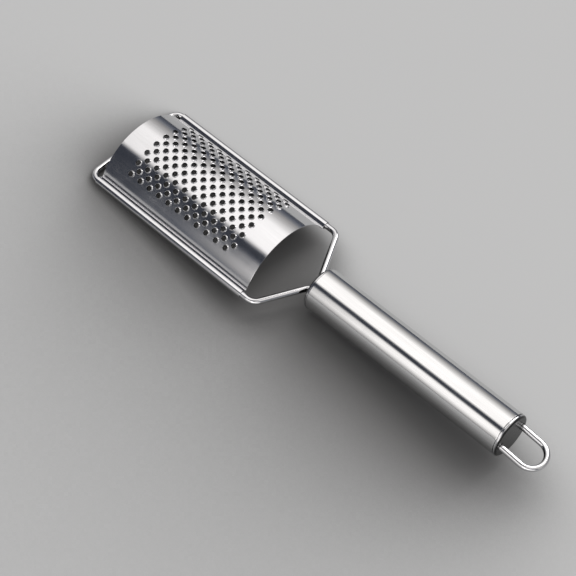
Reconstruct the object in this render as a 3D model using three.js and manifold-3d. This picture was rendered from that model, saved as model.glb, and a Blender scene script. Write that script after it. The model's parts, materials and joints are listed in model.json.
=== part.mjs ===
// A hand grater of stainless steel: a perforated arched plate hemmed onto a bent wire frame,
// whose two ends are welded into the front of a hollow round handle with a hanging loop.
// Millimetres. In the assembly's own axes X runs from the far end of the frame to the hanging
// loop, Y runs across, and Z goes up from the plane of the frame wire.
// The finished group lies on Z = 0 as the grater lies on a table.
import * as THREE from "three";
import { mergeVertices } from "three/addons/utils/BufferGeometryUtils.js";
import Module from "manifold-3d";

// Frame wire
const WIDTH = 55; // over both hems
const WIRE_DIAMETER = 2.8; // frame wire and hanging loop
const FAR_BEND = 4.4; // centreline radius of the two far corners
const FAR_LEAD = 0.1; // straight wire between a far corner and the plate's edge
const SHOULDER_LEAD = 3.2; // straight wire between the plate's edge and a shoulder bend
const SHOULDER_BEND = 5; // centreline radius where the wire turns in towards the handle
const NECK_RUN = 11.2; // along X, from the shoulder corner to the neck corner
const NECK_BEND = 2.5; // centreline radius where the wire turns into the handle
const NECK_LEAD = 1; // straight wire between a neck bend and the handle's front face
const LEG_SPACING = 7.2; // between the centres of the frame's two legs
const LEG_DEPTH = 5; // how far a wire leg reaches past the inner face of its cap

// Grater plate
const PLATE_LENGTH = 87.1;
const SHEET = 0.3; // thickness of the plate
const ARCH_RISE = 15; // crown of the arch above the plane of the frame wire
const HEM_CLEARANCE = 0.1; // between the wire and the hem rolled round it
const HEM_WRAP = THREE.MathUtils.degToRad(285); // how far the hem goes round the wire
const HEM_TILT = THREE.MathUtils.degToRad(35); // of the sheet towards the arch where the hem begins
const HEM_FILLET = 0.4; // radius of the hollow between the hem and the strip beside it
const STRIP = 1.1; // width of the flat strip beside the hem
const STRIP_TILT = THREE.MathUtils.degToRad(30); // of the strip towards the arch
const FOLD = 0.45; // outer radius of the fold from the strip down into the groove
const GROOVE = 0.22; // radius of the groove along the arch's foot
const GROOVE_TILT = THREE.MathUtils.degToRad(75); // of the groove's outer wall towards the arch
const HOLE_DIAMETER = 2.4;
const BRIDGE = 1.62; // steel left between neighbouring holes
const TOOTH_RISE = 0.5; // how far the edge of a hole is pressed up above the sheet
const FAR_MARGIN = 12.7; // from the plate's far edge to the first row of hole centres
const NEAR_MARGIN = 14; // least distance from the last hole centres to the plate's near edge
const SIDE_MARGIN = 7; // least arc from the outer hole centres to the grooves
const PUNCH_OFFSET = 0.55; // of the middle row of holes from the crown, along the arc

// Handle
const HANDLE_DIAMETER = 20;
const HANDLE_LENGTH = 104.3; // between the outer faces of its two caps
const HANDLE_DROP = 0.8; // of the handle's axis below the plane of the frame wire
const TUBE_WALL = 0.4;
const CAP_WALL = 0.6;
const CAP_EDGE = 1.2; // radius of a cap's rounded outer edge
const CAP_LAND = 0.2; // straight part of a cap's rim, between its rounded edge and the seam
const CAP_SKIRT = 6; // how far a cap reaches into the tube
const SEAM = 0.3; // between a cap's rim and the end of the tube
const FIT = 0.15; // between pieces that fit into one another
const WELD_LEG = 0.45; // size of the weld fillets inside the caps

// Hanging loop
const LOOP_STRAIGHT = 10; // from the rear cap's face to the start of the round tip
const LOOP_LEAD = 0.8; // straight wire between the rear cap and the loop's downward bend
const LOOP_DROOP = THREE.MathUtils.degToRad(7); // how far the loop is bent down

// Finishes of the steel
const ROLLED_SHEET = { color: 0xc9cbcd, roughness: 0.22 };
const POLISHED_WIRE = { color: 0xc4c6c8, roughness: 0.15 };
const SATIN_TUBE = { color: 0xcfd0d1, roughness: 0.3 };
const PRESSED_CAP = { color: 0xc4c6c8, roughness: 0.25 };
const DULL_WELD = { color: 0x9c9a96, roughness: 0.5 };

// Facets
const WIRE_SIDES = 12;
const BEND_STEP = Math.PI / 10; // largest turn between two rings of a bent wire
const SAME_PLACE = 0.001; // rings closer than this are one
const HANDLE_SIDES = 40;
const EDGE_STEPS = 4; // facets in a cap's rounded edge
const BEAD_SIDES = 16;
const BORE_SIDES = 16;
const HOLE_SIDES = 8; // two for each quarter of the plate's diamond tiles
const ARCH_STEP = Math.PI / 24; // largest turn of a facet between the outer holes and a groove
const HEM_STEP = Math.PI / 8; // largest turn of a facet from the groove to the hem's edge

// Places along the assembly, worked out from the far end
const wireRadius = WIRE_DIAMETER / 2;
const hemMid = wireRadius + HEM_CLEARANCE + SHEET / 2;
const hemOuter = hemMid + SHEET / 2;
const sideY = WIDTH / 2 - hemOuter;
const legY = LEG_SPACING / 2;
const farX = wireRadius;
const plateStart = farX + FAR_BEND + FAR_LEAD;
const plateEnd = plateStart + PLATE_LENGTH;
const neckTurn = Math.atan2(sideY - legY, NECK_RUN);
const shoulderX = plateEnd + SHOULDER_LEAD + SHOULDER_BEND * Math.tan(neckTurn / 2);
const neckX = shoulderX + NECK_RUN;
const frontFace = neckX + NECK_BEND * Math.tan(neckTurn / 2) + NECK_LEAD;
const rearFace = frontFace + HANDLE_LENGTH;

// Radii of the handle and its caps
const handleRadius = HANDLE_DIAMETER / 2;
const skirtOuter = handleRadius - TUBE_WALL - FIT;
const skirtInner = skirtOuter - CAP_WALL;
const capRim = CAP_EDGE + CAP_LAND;
const boreRadius = wireRadius + FIT;
const beadOuter = boreRadius + WELD_LEG;
const loopY = skirtInner - FIT - beadOuter;

// Section of the plate on its +Y side, where a tilt of the sheet towards the arch is positive.
// Its arch goes through the crown and runs smoothly into the groove.
function tilted(tilt) {
  return new THREE.Vector2(-Math.sin(tilt), Math.cos(tilt));
}

const wireCentre = new THREE.Vector2(sideY, 0);
const filletCentre = tilted(HEM_TILT)
  .multiplyScalar(hemOuter + HEM_FILLET)
  .add(wireCentre);
const foldCentre = tilted(STRIP_TILT + Math.PI / 2)
  .multiplyScalar(STRIP)
  .addScaledVector(tilted(STRIP_TILT), -HEM_FILLET - FOLD)
  .add(filletCentre);
const grooveCentre = tilted(GROOVE_TILT)
  .multiplyScalar(FOLD + GROOVE)
  .add(foldCentre);
const drop = ARCH_RISE - grooveCentre.y;
const archOuter = (grooveCentre.x ** 2 + drop ** 2 - GROOVE ** 2) / (2 * (drop + GROOVE));
const archMid = archOuter - SHEET / 2;
const archCentre = new THREE.Vector2(0, ARCH_RISE - archOuter);
const archHalf = Math.atan2(grooveCentre.x, grooveCentre.y - archCentre.y);

// Pattern of the holes: a square grid turned by 45 degrees, so rows are half a pitch apart
const halfPitch = (HOLE_DIAMETER + BRIDGE) / Math.SQRT2;
const firstHole = plateStart + FAR_MARGIN;
const lastColumn = Math.floor((PLATE_LENGTH - FAR_MARGIN - NEAR_MARGIN) / halfPitch);
const lastRow = Math.floor((archHalf * archOuter - SIDE_MARGIN - PUNCH_OFFSET) / halfPitch);

const wasm = await Module();
wasm.setup();

function solidOf(geometry) {
  const bare = geometry.clone();
  bare.deleteAttribute("normal");
  bare.deleteAttribute("uv");
  const merged = mergeVertices(bare);
  return new wasm.Manifold(
    new wasm.Mesh({
      numProp: 3,
      vertProperties: merged.attributes.position.array,
      triVerts: new Uint32Array(merged.index.array),
    }),
  );
}

function geometryOf(solid) {
  const { vertProperties, triVerts } = solid.getMesh();
  const geometry = new THREE.BufferGeometry();
  geometry.setAttribute("position", new THREE.BufferAttribute(vertProperties, 3));
  geometry.setIndex(new THREE.BufferAttribute(triVerts, 1));
  geometry.computeVertexNormals();
  return geometry;
}

// A turned piece on the X axis: the profile's points are (distance along X, radius).
function turned(profile, sides) {
  const points = profile.map(([along, radius]) => new THREE.Vector2(radius, along));
  return new THREE.LatheGeometry(points, sides).rotateZ(-Math.PI / 2);
}

// A wire's centreline through given rings, with each ring square to the mean of its two sides.
class WireLine extends THREE.Curve {
  constructor(rings) {
    super();
    this.rings = rings;
  }

  ringAt(share) {
    return Math.round(share * (this.rings.length - 1));
  }

  getPointAt(share, target = new THREE.Vector3()) {
    return target.copy(this.rings[this.ringAt(share)]);
  }

  getTangentAt(share, target = new THREE.Vector3()) {
    const here = this.ringAt(share);
    const side = new THREE.Vector3();
    target.set(0, 0, 0);
    if (here > 0) {
      target.add(side.subVectors(this.rings[here], this.rings[here - 1]).normalize());
    }
    if (here < this.rings.length - 1) {
      target.add(side.subVectors(this.rings[here + 1], this.rings[here]).normalize());
    }
    return target.normalize();
  }
}

// Rings of a wire in the plane Z = 0 that turns at each inner corner with its own bend radius.
function bentWire(corners) {
  const flat = corners.map(({ x, y }) => new THREE.Vector2(x, y));
  const rings = [new THREE.Vector3(flat[0].x, flat[0].y, 0)];
  for (let i = 1; i < flat.length - 1; i++) {
    const into = flat[i].clone().sub(flat[i - 1]).normalize();
    const out = flat[i + 1].clone().sub(flat[i]).normalize();
    const turn = Math.atan2(into.cross(out), into.dot(out));
    const { bend } = corners[i];
    const start = flat[i].clone().addScaledVector(into, -bend * Math.tan(Math.abs(turn) / 2));
    const side = new THREE.Vector2(-into.y, into.x).multiplyScalar(bend * Math.sign(turn));
    const centre = start.clone().add(side);
    const steps = Math.max(1, Math.ceil(Math.abs(turn) / BEND_STEP));
    for (let step = 0; step <= steps; step++) {
      const point = start.clone().rotateAround(centre, (turn * step) / steps);
      const ring = new THREE.Vector3(point.x, point.y, 0);
      // Where one bend follows another directly, they share a ring.
      if (ring.distanceTo(rings.at(-1)) > SAME_PLACE) rings.push(ring);
    }
  }
  const end = flat.at(-1);
  rings.push(new THREE.Vector3(end.x, end.y, 0));
  return rings;
}

function wireGeometry(rings) {
  const section = [];
  for (let i = 0; i < WIRE_SIDES; i++) {
    const angle = (2 * Math.PI * i) / WIRE_SIDES;
    section.push(new THREE.Vector2(Math.cos(angle), Math.sin(angle)).multiplyScalar(wireRadius));
  }
  return new THREE.ExtrudeGeometry(new THREE.Shape(section), {
    steps: rings.length - 1,
    extrudePath: new WireLine(rings),
  });
}

function frameWire() {
  const half = [
    { x: frontFace + CAP_WALL + LEG_DEPTH, y: legY },
    { x: neckX, y: legY, bend: NECK_BEND },
    { x: shoulderX, y: sideY, bend: SHOULDER_BEND },
    { x: farX, y: sideY, bend: FAR_BEND },
  ];
  const otherHalf = half.map((corner) => ({ ...corner, y: -corner.y })).reverse();
  return wireGeometry(bentWire([...half, ...otherHalf]));
}

function hangingLoop() {
  const inside = rearFace - CAP_WALL - LEG_DEPTH;
  const droopX = rearFace + LOOP_LEAD;
  const tip = rearFace + LOOP_STRAIGHT + loopY;
  const half = [
    { x: inside, y: loopY },
    { x: droopX, y: loopY, bend: 0 },
    { x: tip, y: loopY, bend: loopY },
  ];
  const otherHalf = half.map((corner) => ({ ...corner, y: -corner.y })).reverse();
  const rings = bentWire([...half, ...otherHalf]);
  for (const ring of rings) {
    const beyond = Math.max(0, ring.x - droopX);
    ring.x += beyond * (Math.cos(LOOP_DROOP) - 1);
    ring.z -= beyond * Math.sin(LOOP_DROOP);
  }
  return wireGeometry(rings);
}

// A point of the plate's sheet, as its two skins, from its mid-sheet place and outward direction.
function sheetPoint(x, y, z, outY, outZ) {
  const half = SHEET / 2;
  return {
    outer: new THREE.Vector3(x, y + outY * half, z + outZ * half),
    inner: new THREE.Vector3(x, y - outY * half, z - outZ * half),
  };
}

// A point on the arch, by its arc length from the crown on the outer skin.
function archPoint(x, arc, rise = 0) {
  const angle = arc / archOuter;
  const radius = archMid + rise;
  const outY = Math.sin(angle);
  const outZ = Math.cos(angle);
  return sheetPoint(x, radius * outY, archCentre.y + radius * outZ, outY, outZ);
}

// Makes a closed solid from triangles of sheet points: both skins, and a wall along each free edge.
function thickSheet(points, triangles) {
  const corners = [];
  const edges = new Set(triangles.flatMap(([a, b, c]) => [`${a} ${b}`, `${b} ${c}`, `${c} ${a}`]));
  for (const [a, b, c] of triangles) {
    corners.push(points[a].outer, points[b].outer, points[c].outer);
    corners.push(points[a].inner, points[c].inner, points[b].inner);
    for (const [from, to] of [[a, b], [b, c], [c, a]]) {
      if (edges.has(`${to} ${from}`)) continue;
      corners.push(points[from].outer, points[from].inner, points[to].inner);
      corners.push(points[from].outer, points[to].inner, points[to].outer);
    }
  }
  const geometry = new THREE.BufferGeometry().setFromPoints(corners);
  geometry.computeVertexNormals();
  return geometry;
}

function graterPlate() {
  const points = [];
  const triangles = [];
  const add = (point) => points.push(point) - 1;
  const edgeRow = lastRow + 1;
  const arcOf = (row) => PUNCH_OFFSET + row * halfPitch;
  const isHole = (column, row) => (column + row + lastRow) % 2 === 0;

  // Corners of the diamond tiles, halfway between holes, shared by the tiles that meet there.
  const gridNumbers = new Map();
  function corner(column, row) {
    const key = `${column} ${row}`;
    if (!gridNumbers.has(key)) {
      gridNumbers.set(key, add(archPoint(firstHole + column * halfPitch, arcOf(row))));
    }
    return gridNumbers.get(key);
  }

  // One tile: the sheet between a diamond and the pressed-up edge of the hole in its middle.
  function tile(column, row) {
    const tips = [
      corner(column + 1, row),
      corner(column, row + 1),
      corner(column - 1, row),
      corner(column, row - 1),
    ];
    const rim = [];
    for (let i = 0; i < HOLE_SIDES; i++) {
      const angle = (2 * Math.PI * i) / HOLE_SIDES;
      const x = firstHole + column * halfPitch + (HOLE_DIAMETER / 2) * Math.cos(angle);
      const arc = arcOf(row) + (HOLE_DIAMETER / 2) * Math.sin(angle);
      rim.push(add(archPoint(x, arc, TOOTH_RISE)));
    }
    tips.forEach((tip, quarter) => {
      const next = tips[(quarter + 1) % tips.length];
      const first = 2 * quarter;
      const middle = rim[first + 1];
      triangles.push([tip, next, middle]);
      triangles.push([tip, middle, rim[first]]);
      triangles.push([next, rim[(first + 2) % HOLE_SIDES], middle]);
    });
  }

  for (let row = -lastRow; row <= lastRow; row++) {
    for (let column = 0; column <= lastColumn; column++) {
      if (isHole(column, row)) tile(column, row);
    }
  }

  // Plain sheet between the tiles and the two ends of the plate.
  const firstCorner = (row) => (isHole(0, row) ? -1 : 0);
  function lastCorner(row) {
    const most = Math.abs(row) === edgeRow ? lastColumn : lastColumn + 1;
    return isHole(most, row) ? most - 1 : most;
  }
  const rows = [];
  for (let row = -edgeRow; row <= edgeRow; row++) {
    rows.push({
      far: add(archPoint(plateStart, arcOf(row))),
      first: corner(firstCorner(row), row),
      last: corner(lastCorner(row), row),
      near: add(archPoint(plateEnd, arcOf(row))),
    });
  }
  for (let i = 1; i < rows.length; i++) {
    const below = rows[i - 1];
    const above = rows[i];
    triangles.push([below.far, below.first, above.first], [below.far, above.first, above.far]);
    triangles.push([below.last, below.near, above.near], [below.last, above.near, above.last]);
  }

  // Each side of the plate: plain arch, groove and hem, as strips along the whole length.
  for (const side of [1, -1]) {
    const face = (a, b, c) => triangles.push(side > 0 ? [a, b, c] : [a, c, b]);
    const edge = rows[side > 0 ? rows.length - 1 : 0];
    const along = [edge.far];
    for (let column = 0; column <= lastCorner(edgeRow); column += 2) {
      along.push(corner(column, side * edgeRow));
      if (column > 0) {
        const below = corner(column - 1, side * lastRow);
        face(below, corner(column, side * edgeRow), corner(column - 2, side * edgeRow));
      }
    }
    along.push(edge.near);

    const section = sideSection((side * arcOf(side * edgeRow)) / archOuter);
    const strips = section.map(({ y, z, outY, outZ }) =>
      [plateStart, plateEnd].map((x) => add(sheetPoint(x, side * y, z, side * outY, outZ))),
    );
    const [startFar, startNear] = strips[0];
    for (let i = 1; i < along.length; i++) face(along[i - 1], along[i], startFar);
    face(along.at(-1), startNear, startFar);
    for (let i = 1; i < strips.length; i++) {
      const [innerFar, innerNear] = strips[i - 1];
      const [outerFar, outerNear] = strips[i];
      face(innerFar, innerNear, outerNear);
      face(innerFar, outerNear, outerFar);
    }
  }
  return thickSheet(points, triangles);
}

// Mid-sheet points round a bend, with their outward directions, from one tilt of the sheet to another.
// The radius is negative where the bend's centre is on the sheet's outer side.
function bend(centre, radius, from, to, largestStep) {
  const steps = Math.ceil(Math.abs(to - from) / largestStep);
  const points = [];
  for (let i = 0; i <= steps; i++) {
    const out = tilted(from + ((to - from) * i) / steps);
    const point = out.clone().multiplyScalar(radius).add(centre);
    points.push({ y: point.x, z: point.y, outY: out.x, outZ: out.y });
  }
  return points;
}

// From the outermost tiles round to the hem's edge. Bends that follow each other directly share a point.
function sideSection(startAngle) {
  const half = SHEET / 2;
  return [
    ...bend(archCentre, archMid, -startAngle, -archHalf, ARCH_STEP).slice(1, -1),
    ...bend(grooveCentre, -GROOVE - half, -archHalf, GROOVE_TILT, HEM_STEP).slice(0, -1),
    ...bend(foldCentre, FOLD - half, GROOVE_TILT, STRIP_TILT, HEM_STEP),
    ...bend(filletCentre, -HEM_FILLET - half, STRIP_TILT, HEM_TILT, HEM_STEP).slice(0, -1),
    ...bend(wireCentre, hemMid, HEM_TILT, HEM_TILT - HEM_WRAP, HEM_STEP),
  ];
}

function handleTube() {
  const start = frontFace + capRim + SEAM;
  const end = rearFace - capRim - SEAM;
  const bore = handleRadius - TUBE_WALL;
  return turned(
    [
      [start, bore],
      [start, handleRadius],
      [end, handleRadius],
      [end, bore],
      [start, bore],
    ],
    HANDLE_SIDES,
  );
}

// A pressed cup that plugs one end of the tube, with bores for two wire legs at plus and minus y
// and at height z. Its outer face is at x, and it reaches in the direction into, which is 1 or -1.
function endCap(x, into, y, z) {
  const profile = [[0, 0]];
  for (let i = 0; i <= EDGE_STEPS; i++) {
    const angle = ((Math.PI / 2) * i) / EDGE_STEPS;
    profile.push([
      CAP_EDGE * (1 - Math.cos(angle)),
      handleRadius - CAP_EDGE + CAP_EDGE * Math.sin(angle),
    ]);
  }
  profile.push([capRim, handleRadius]);
  profile.push([capRim, skirtOuter]);
  profile.push([capRim + CAP_SKIRT, skirtOuter]);
  profile.push([capRim + CAP_SKIRT, skirtInner]);
  profile.push([CAP_WALL, skirtInner]);
  profile.push([CAP_WALL, 0]);
  const placed = profile.map(([depth, radius]) => [x + into * depth, radius]);
  let cap = solidOf(turned(into > 0 ? placed : placed.reverse(), HANDLE_SIDES));
  const depth = capRim + CAP_SKIRT + CAP_WALL;
  for (const side of [1, -1]) {
    const bore = new THREE.CylinderGeometry(boreRadius, boreRadius, 2 * depth, BORE_SIDES);
    bore.rotateZ(Math.PI / 2);
    bore.translate(x, side * y, z);
    cap = cap.subtract(solidOf(bore));
  }
  return geometryOf(cap);
}

// A weld fillet round a wire leg, on the inner face of the cap whose outer face is at x.
function weldBead(x, into) {
  const seat = x + into * (CAP_WALL + FIT);
  const bulge = WELD_LEG * Math.SQRT1_2;
  const profile = [
    [0, boreRadius],
    [0, beadOuter],
    [bulge, boreRadius + bulge],
    [WELD_LEG, boreRadius],
    [0, boreRadius],
  ].map(([depth, radius]) => [seat + into * depth, radius]);
  return turned(into > 0 ? profile : profile.reverse(), BEAD_SIDES);
}

// The handle's own group has its axis on the tube's axis, a little below the frame wire.
const assembly = new THREE.Group();
const handle = new THREE.Group();
handle.position.z = -HANDLE_DROP;
assembly.add(handle);

function piece(group, name, geometry, finish) {
  const material = new THREE.MeshStandardMaterial({ ...finish, metalness: 1 });
  const mesh = new THREE.Mesh(geometry, material);
  mesh.name = name;
  group.add(mesh);
  return mesh;
}

piece(assembly, "grater_plate", graterPlate(), ROLLED_SHEET);
piece(assembly, "frame_wire", frameWire(), POLISHED_WIRE);
piece(handle, "handle_tube", handleTube(), SATIN_TUBE);
piece(handle, "front_cap", endCap(frontFace, 1, legY, HANDLE_DROP), PRESSED_CAP);
piece(handle, "rear_cap", endCap(rearFace, -1, loopY, 0), PRESSED_CAP);
piece(handle, "hanging_loop", hangingLoop(), POLISHED_WIRE);
for (const [side, sign] of [["left", -1], ["right", 1]]) {
  const front = piece(assembly, `front_weld_${side}`, weldBead(frontFace, 1), DULL_WELD);
  front.position.y = sign * legY;
  const rear = piece(handle, `rear_weld_${side}`, weldBead(rearFace, -1), DULL_WELD);
  rear.position.y = sign * loopY;
}

// The grater lies on the far ends of its hems and on the front edge of its thicker handle.
const tilt = Math.atan2(handleRadius + HANDLE_DROP - hemOuter, frontFace + CAP_EDGE - plateStart);
assembly.rotation.y = -tilt;

const grater = new THREE.Group();
grater.add(assembly);
grater.updateMatrixWorld(true);
const box = new THREE.Box3().setFromObject(grater, true);
assembly.position.set(-(box.min.x + box.max.x) / 2, -(box.min.y + box.max.y) / 2, -box.min.z);

export default grater;
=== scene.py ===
"""A stainless steel hand grater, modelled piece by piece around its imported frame.

Metres. In the grater's own axes X runs from the far end of the frame to the hanging loop, Y runs
across and Z goes up from the plane of the frame wire. Each finished piece is then laid down as
the grater lies on a table, which is Z = 0.
"""
import json
from collections import namedtuple
from math import atan2, ceil, copysign, cos, floor, hypot, pi, radians, sin, sqrt, tan
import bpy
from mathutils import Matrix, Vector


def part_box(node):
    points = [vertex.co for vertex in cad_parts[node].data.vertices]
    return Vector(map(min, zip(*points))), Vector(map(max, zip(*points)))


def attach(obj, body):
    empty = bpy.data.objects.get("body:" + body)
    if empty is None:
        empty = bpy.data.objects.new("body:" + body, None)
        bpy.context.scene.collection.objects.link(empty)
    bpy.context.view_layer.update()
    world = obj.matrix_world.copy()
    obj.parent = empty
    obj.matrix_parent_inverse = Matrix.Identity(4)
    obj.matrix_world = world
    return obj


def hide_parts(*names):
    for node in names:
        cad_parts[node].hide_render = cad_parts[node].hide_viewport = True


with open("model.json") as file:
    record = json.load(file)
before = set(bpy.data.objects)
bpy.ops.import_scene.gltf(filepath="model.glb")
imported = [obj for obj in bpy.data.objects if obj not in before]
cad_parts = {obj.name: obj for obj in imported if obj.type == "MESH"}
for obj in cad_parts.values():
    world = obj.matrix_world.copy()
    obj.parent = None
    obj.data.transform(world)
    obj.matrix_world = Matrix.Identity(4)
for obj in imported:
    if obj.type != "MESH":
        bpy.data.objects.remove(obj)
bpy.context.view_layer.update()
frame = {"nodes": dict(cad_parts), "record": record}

from types import SimpleNamespace

import bmesh
import bpy
from bpy.props import FloatProperty, FloatVectorProperty, IntProperty, PointerProperty
from mathutils import Matrix, Vector

bl_info = {
    "name": "Hand Grater",
    "version": (1, 0, 0),
    "blender": (4, 5, 0),
    "location": "3D View > Sidebar > Grater",
    "description": "Models an arched hand grater piece by piece and sets it on a plain studio floor",
    "category": "Add Mesh",
}

MM = 0.001
STEEL = {entry["slot"]: entry["base_color"] for entry in frame["record"]["materials"]}

# Sides and steps of the round shapes
ROD_SIDES = 32
BEND_STEP = pi / 24
HANDLE_SIDES = 128
CAP_EDGE_STEPS = 8
TUBE_LIP_STEPS = 4
TOOTH_SIDES = 12
TILE_CUTS = TOOTH_SIDES // 4 - 1
SPARE_TILES = 6  # rows and columns of plain tiles round the teeth, from which the sheet is cut
HEM_STEP = pi / 20
SMOOTH_ANGLE = radians(40)  # between faces that are shaded as one surface
CUT_ANGLE = radians(60)  # from which an edge at the sheet's ends is one that was cut
SAME_PLACE = 0.01 * MM
ACROSS_X = (0, pi / 2, 0)  # turns a circle or a cylinder so that its axis runs along X


def number(name, description, value, **kind):
    """A value that a user may set."""
    return FloatProperty(name=name, description=description, default=value, **kind)


def length(name, description, millimetres):
    """A size, which Blender keeps in metres."""
    return number(name, description, millimetres * MM, min=0, precision=5, unit="LENGTH")


def turn(name, description, degrees):
    """An angle."""
    return number(name, description, radians(degrees), subtype="ANGLE")


def share(name, description, value):
    """A share from 0 to 1."""
    return number(name, description, value, min=0, max=1, subtype="FACTOR")


def strength(name, description, value):
    """The strength of a light."""
    return number(name, description, value, min=0)


def colour(name, description, value):
    """A linear colour that a user may set."""
    return FloatVectorProperty(
        name=name, description=description, default=value, min=0, max=1, size=3, subtype="COLOR"
    )


class GraterSizes(bpy.types.PropertyGroup):
    """Driving sizes of the wire, the plate, the handle and the loop."""

    width: length("Width", "Over both hems", 55)
    wire: length("Wire", "Diameter of the frame wire and the hanging loop", 2.8)
    hold: length("Hold", "Short run beside a bend or an edge that keeps long faces true", 0.15)
    far_bend: length("Far bend", "Centreline radius of the two far corners", 4.4)
    far_lead: length("Far lead", "Straight wire between a far corner and the plate", 0.1)
    shoulder_lead: length("Shoulder lead", "Straight wire between the plate and a shoulder", 3.2)
    shoulder_bend: length("Shoulder bend", "Centreline radius of the shoulders", 5)
    neck_run: length("Neck run", "Along X from a shoulder corner to a neck corner", 11.2)
    neck_bend: length("Neck bend", "Centreline radius where the wire turns into the handle", 2.5)
    neck_lead: length("Neck lead", "Straight wire between a neck bend and the handle", 1)
    leg_spacing: length("Leg spacing", "Between the frame's two legs", 7.2)
    leg_depth: length("Leg depth", "How far a leg reaches past the inner face of its cap", 5)

    plate_length: length("Plate length", "Length of the perforated plate", 87.1)
    sheet: length("Sheet", "Thickness of the plate", 0.3)
    arch_rise: length("Arch rise", "Crown of the arch above the frame wire", 15)
    hem_clearance: length("Hem clearance", "Between the wire and the hem rolled round it", 0.1)
    hem_wrap: turn("Hem wrap", "How far the hem goes round the wire", 285)
    hem_tilt: turn("Hem tilt", "Inward slope at which the hem leaves the wire", 35)
    hem_fillet: length("Hem fillet", "Radius between the hem and its inner strip", 0.4)
    strip: length("Strip", "Flat width of the hem's inner strip", 1.1)
    strip_tilt: turn("Strip tilt", "Inward slope of the hem's inner strip", 30)
    fold: length("Fold", "Radius where the strip turns down into the groove", 0.45)
    groove: length("Groove", "Radius at the bottom of the groove beside the arch", 0.22)
    groove_tilt: turn("Groove tilt", "Slope of the groove's outer wall", 75)
    hole: length("Hole", "Diameter of a punched hole at its pressed-up edge", 2.5)
    bridge: length("Bridge", "Steel left between neighbouring holes", 1.52)
    tooth_rise: length("Tooth rise", "How far the edge of a hole is pressed up", 0.6)
    tooth_waist: length("Tooth waist", "Diameter where a tooth begins to rise steeply", 2.86)
    waist_rise: length("Waist rise", "Height of that waist above the sheet", 0.1)
    tooth_foot: length("Tooth foot", "Diameter of a tooth where it leaves the sheet", 3.02)
    lip: share("Lip", "Thickness of a tooth's drawn-out lip as a share of the sheet", 0.1)
    sheet_edge: length("Sheet edge", "Width of the broken edges of the sheet", 0.06)
    far_margin: length("Far margin", "From the far edge to the first holes", 12.7)
    near_margin: length("Near margin", "Least distance from the last holes to the near edge", 14)
    side_margin: length("Side margin", "Least arc from the outer holes to the grooves", 7)
    punch_offset: length("Punch offset", "Of the middle row of holes from the crown", 0.55)

    handle: length("Handle", "Diameter of the handle", 20)
    handle_length: length("Handle length", "Between the outer faces of the two caps", 104.3)
    handle_drop: length("Handle drop", "Of the handle's axis below the frame wire", 0.8)
    tube_wall: length("Tube wall", "Thickness of the tube", 0.4)
    front_lip: length("Front lip", "Radius of the tube's rounded front end", 0.08)
    rear_lip: length("Rear lip", "Radius of the tube's rounded rear end", 0.15)
    cap_wall: length("Cap wall", "Thickness of the caps", 0.6)
    cap_edge: length("Cap edge", "Radius of a cap's rounded outer edge", 1.2)
    front_land: length("Front land", "Straight rim between the front cap's edge and its seam", 0.2)
    rear_land: length("Rear land", "Straight rim between the rear cap's edge and its seam", 0.02)
    cap_skirt: length("Cap skirt", "How far a cap reaches into the tube", 6)
    bore_edge: length("Bore edge", "Width of the broken edge of a cap's bores", 0.12)
    front_seam: length("Front seam", "Between the front cap's rim and the tube", 0.08)
    rear_seam: length("Rear seam", "Between the rear cap's rim and the tube", 0.5)
    fit: length("Fit", "Between pieces that fit into one another", 0.15)
    weld_leg: length("Weld leg", "Size of the weld fillets inside the caps", 0.45)
    loop_straight: length("Loop straight", "From the rear cap to the loop's round tip", 10)
    loop_lead: length("Loop lead", "Straight wire between the rear cap and the downward bend", 0.8)
    loop_droop: turn("Loop droop", "How far the loop is bent down", 7)
    droop_bend: length("Droop bend", "Centreline radius of the loop's downward bend", 4)


class GraterFinish(bpy.types.PropertyGroup):
    """Colours and gloss of the steel."""

    sheet_colour: colour("Sheet", "Rolled sheet of the plate", STEEL["plate_steel"])
    # A near-black colour for the underside that stands in for the shade inside the arch: painted shade
    underside_colour: colour("Underside", "Dull underside of the plate", (0.07, 0.07, 0.072))
    wire_colour: colour("Wire", "Polished wire", STEEL["wire_steel"])
    tube_colour: colour("Tube", "Satin tube of the handle", STEEL["handle_steel"])
    cap_colour: colour("Caps", "Pressed caps", STEEL["cap_steel"])
    weld_colour: colour("Welds", "Dull weld fillets", STEEL["weld_steel"])
    sheet_roughness: share("Sheet roughness", "Gloss of the rolled sheet", 0.11)
    underside_roughness: share("Underside roughness", "Gloss of the plate's underside", 0.4)
    wire_roughness: share("Wire roughness", "Gloss of the polished wire", 0.09)
    tube_roughness: share("Tube roughness", "Gloss of the satin tube", 0.11)
    cap_roughness: share("Cap roughness", "Gloss of the pressed caps", 0.14)
    weld_roughness: share("Weld roughness", "Gloss of the weld fillets", 0.55)


class GraterStage(bpy.types.PropertyGroup):
    """Floor, light and camera."""

    floor_colour: colour("Floor", "Plain pale floor", (0.52, 0.52, 0.52))
    floor_glow: share("Floor glow", "Share of the floor's paleness that no light has to give", 0.78)
    floor_sides: IntProperty(name="Floor sides", description="Sides of the round floor", default=96)
    room_colour: colour("Room", "Cool tint of the dim room", (0.7, 0.78, 1))
    lamp_colour: colour("Lamps", "Faintly warm tint of the lights", (1, 0.975, 0.96))
    room_light: strength("Room light", "Strength of the dim room", 0.07)
    key_light: strength("Key light", "Strength of the light overhead", 1.5)
    fill_light: strength("Fill light", "Strength of the light on the left", 1.5)
    front_light: strength("Front light", "Strength of the strip behind the camera", 0.8)
    low_light: strength("Low light", "Strength of the low light in front", 2.3)
    end_light: strength("End light", "Strength of the room past both ends", 0.15)
    side_light: strength("Side light", "Watts of the lamp on the right", 6.5)
    lens: number("Lens", "Focal length of the camera", 122.59, unit="CAMERA")


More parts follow.
